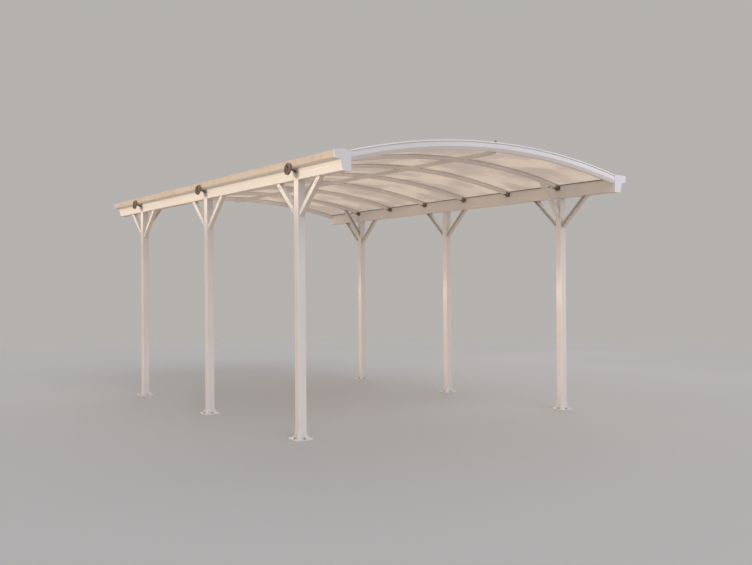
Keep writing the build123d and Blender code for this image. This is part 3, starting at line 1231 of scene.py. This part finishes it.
    def _fitting_faces(self) -> None:
        """Put a ring and a centre screw on the face of each round fitting."""
        tilt = math.radians(self.fitting_tilt)
        out = Vector((self.sign * math.cos(tilt), 0.0, math.sin(tilt)))
        low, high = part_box(f"{self.side}_gutter_beam")
        x = self.sign * (max(abs(low.x), abs(high.x)) + self.fitting_stand_off)
        mesh = bmesh.new()
        for place in POST_PLACES:
            y = middle_of(f"post_{place}_{self.side}").y - self.fitting_before_post
            back = Vector((x, y, low.z + self.fitting_height))
            seat = seat_at(back + out * self.fitting_thickness, out)
            turned(mesh, self.fitting_ring, 40, seat)
            turned(mesh, self.fitting_centre, 24, seat)
        piece(f"{self.side}_fitting_faces", mesh, self.dark, "dark_plastic")


@dataclass(frozen=True)
class Lamp:
    """What every lamp has."""

    name: str
    spread: float
    power: float
    colour: Colour

    def lit(self, kind: str) -> bpy.types.Object:
        """Make the lamp and put it in the scene.

        Args:
            kind: Blender's type of light.

        Returns:
            The lamp's object.
        """
        light = bpy.data.lights.new(self.name, kind)
        light.energy = self.power
        light.color = self.colour
        hung = bpy.data.objects.new(self.name, light)
        bpy.context.scene.collection.objects.link(hung)
        return hung


@dataclass(frozen=True)
class Sun(Lamp):
    """A soft lamp far away; its bearing is taken from the rear towards the right."""

    bearing: float
    elevation: float
    distance: float = 12.0

    def hang(self) -> None:
        """Hang the lamp so that it faces the middle."""
        hung = self.lit("SUN")
        hung.data.angle = math.radians(self.spread)
        turn, rise = math.radians(self.bearing), math.radians(self.elevation)
        towards = Vector((math.sin(turn) * math.cos(rise), math.cos(turn) * math.cos(rise), math.sin(rise)))
        hung.location = self.distance * towards
        hung.rotation_mode = "QUATERNION"
        hung.rotation_quaternion = towards.to_track_quat("Z", "Y")


@dataclass(frozen=True)
class Panel(Lamp):
    """A flat lamp that the camera doesn't see; its first size lies along the carport."""

    place: Place
    target: Place
    size: Pair

    def hang(self) -> None:
        """Hang the lamp with its long side along the carport."""
        hung = self.lit("AREA")
        hung.data.shape = "RECTANGLE"
        hung.data.size, hung.data.size_y = self.size
        hung.data.spread = math.radians(self.spread)
        back = (Vector(self.place) - Vector(self.target)).normalized()
        along = (Vector((0, 1, 0)) - back * back.y).normalized()
        turn = Matrix((along, back.cross(along), back)).transposed().to_4x4()
        hung.matrix_world = Matrix.Translation(self.place) @ turn
        hung.visible_camera = False


@dataclass
class Studio:
    """The floor, the backdrop, the lamps and the camera."""

    floor_colour: Colour = (0.45, 0.445, 0.425)
    floor_bounce: Colour = (0.42, 0.33, 0.25)
    floor_radius: float = 16.0
    floor_fade: Pair = (6.0, 14.0)
    backdrop: Colour = (0.46, 0.445, 0.425)
    horizon: Colour = (0.43, 0.415, 0.415)
    zenith: Colour = (0.68, 0.68, 0.73)
    zenith_from: float = 0.7
    lamps: tuple[Sun | Panel, ...] = (
        Sun("key", 20.0, 0.80, (1.0, 0.77, 0.52), -84.0, 6.0),
        Sun("front_fill", 40.0, 1.02, (0.90, 0.92, 1.0), -176.0, 40.0),
        Sun("rear_fill", 60.0, 0.62, (1.0, 0.95, 0.90), 50.0, 38.0),
        Panel("strip", 10.0, 4.7, (1.0, 0.84, 0.62), (-4.6, 0.2, 2.9), (-1.5, 0.2, 2.07), (7.2, 0.3)),
        Panel("glow", 170.0, 15.0, (1.0, 0.78, 0.55), (0.0, 0.0, 0.03), (0.0, 0.0, 2.0), (4.6, 2.5)),
        Panel("right_fill", 50.0, 2.6, (0.94, 0.88, 1.0), (3.4, -5.6, 3.2), (1.3, -2.5, 2.1), (1.0, 1.0)),
    )
    camera_place: Place = (-4.950, -8.016, 1.222)
    yaw: float = 34.107
    pitch: float = 0.212
    roll: float = -0.36
    lens: float = 42.72
    sensor: float = 36.0

    def build(self) -> None:
        """Set the stage round the carport."""
        self._floor()
        self._world()
        for lamp in self.lamps:
            lamp.hang()
        self._camera()
        bpy.context.scene.view_settings.view_transform = "Standard"

    def _floor(self) -> None:
        """Lay a round floor."""
        mesh = bmesh.new()
        bmesh.ops.create_circle(mesh, cap_ends=True, radius=self.floor_radius, segments=96)
        data = bpy.data.meshes.new("floor")
        mesh.to_mesh(data)
        mesh.free()
        floor = bpy.data.objects.new("floor", data)
        bpy.context.scene.collection.objects.link(floor)
        StudioFloor("studio_floor", self.floor_colour, self.floor_bounce, self.floor_fade).dress(floor)

    def _world(self) -> None:
        """Light softly from above, and show a pale backdrop to the camera and in gloss."""
        world = bpy.data.worlds.new("studio")
        bpy.context.scene.world = world
        world.use_nodes = True
        graph = Graph(world.node_tree)
        kinds = ("Camera", "Transmission", "Glossy")
        rays = [graph.node("ShaderNodeLightPath", output=f"Is {kind} Ray") for kind in kinds]
        seen = (rays[0] + rays[1] + rays[2]).stepped(0.0, 1.0)
        height = graph.part(graph.node("ShaderNodeTexCoord", output="Generated"), "Z")
        light = graph.blend(height.stepped(0.0, self.zenith_from), self.horizon, self.zenith)
        colour = graph.blend(seen, light, self.backdrop)
        back = graph.node("ShaderNodeBackground", inputs={"Color": colour, "Strength": 1.0})
        graph.node("ShaderNodeOutputWorld", inputs={"Surface": back})

    def _camera(self) -> None:
        """Stand the camera where the picture was taken from."""
        lens = bpy.data.cameras.new("camera")
        lens.lens = self.lens
        lens.sensor_width = self.sensor
        camera = bpy.data.objects.new("camera", lens)
        turn = Matrix.Rotation(math.radians(-self.yaw), 4, "Z")
        turn @= Matrix.Rotation(math.radians(90 + self.pitch), 4, "X")
        turn @= Matrix.Rotation(math.radians(self.roll), 4, "Z")
        camera.matrix_world = Matrix.Translation(self.camera_place) @ turn
        bpy.context.scene.collection.objects.link(camera)
        bpy.context.scene.camera = camera


def main() -> None:
    """Build and dress the carport and set its stage."""
    logging.basicConfig(level=logging.INFO, format="%(name)s: %(message)s")
    arch = Arch.from_node("front_arch")
    arch_coat = PowderCoat("arch_coat", Drawn.ARCH, arch=arch)
    beam_coat = PowderCoat("beam_coat", Drawn.LENGTH, outer_tint_from=1.561)
    post_coat = PowderCoat("post_coat", Drawn.HEIGHT)
    plain_coat = PowderCoat("plain_coat")
    cast_coat = CastCoat("cast_coat")
    dark = MouldedPlastic("dark_moulding", (0.17, 0.125, 0.10), (0.26, 0.21, 0.18))
    cap = MouldedPlastic("cap_moulding", (0.76, 0.76, 0.80), (0.70, 0.69, 0.71), bloom=0.3)
    zinc = Zinc("zinc")
    pale_seal = Rubber("pale_seal", (0.62, 0.60, 0.58), (0.72, 0.70, 0.68))
    dark_seal = Rubber("dark_seal", (0.13, 0.11, 0.10), (0.24, 0.22, 0.20))
    sealant = Rubber("sealant", (0.66, 0.65, 0.64), (0.74, 0.73, 0.72))
    sheet = ClearSheet("roof_sheet")

    Roof(arch, arch_coat, sheet, dark, pale_seal, plain_coat, zinc).build()
    for side in SIDES:
        GutterBeam(side, arch, beam_coat, cap, dark, dark_seal, zinc).build()
    Posts(post_coat, plain_coat, cast_coat, sealant, zinc).build()
    BraceScrews(zinc).build()
    FootAnchors(zinc).build()
    Studio().build()


if __name__ == "__main__":
    main()
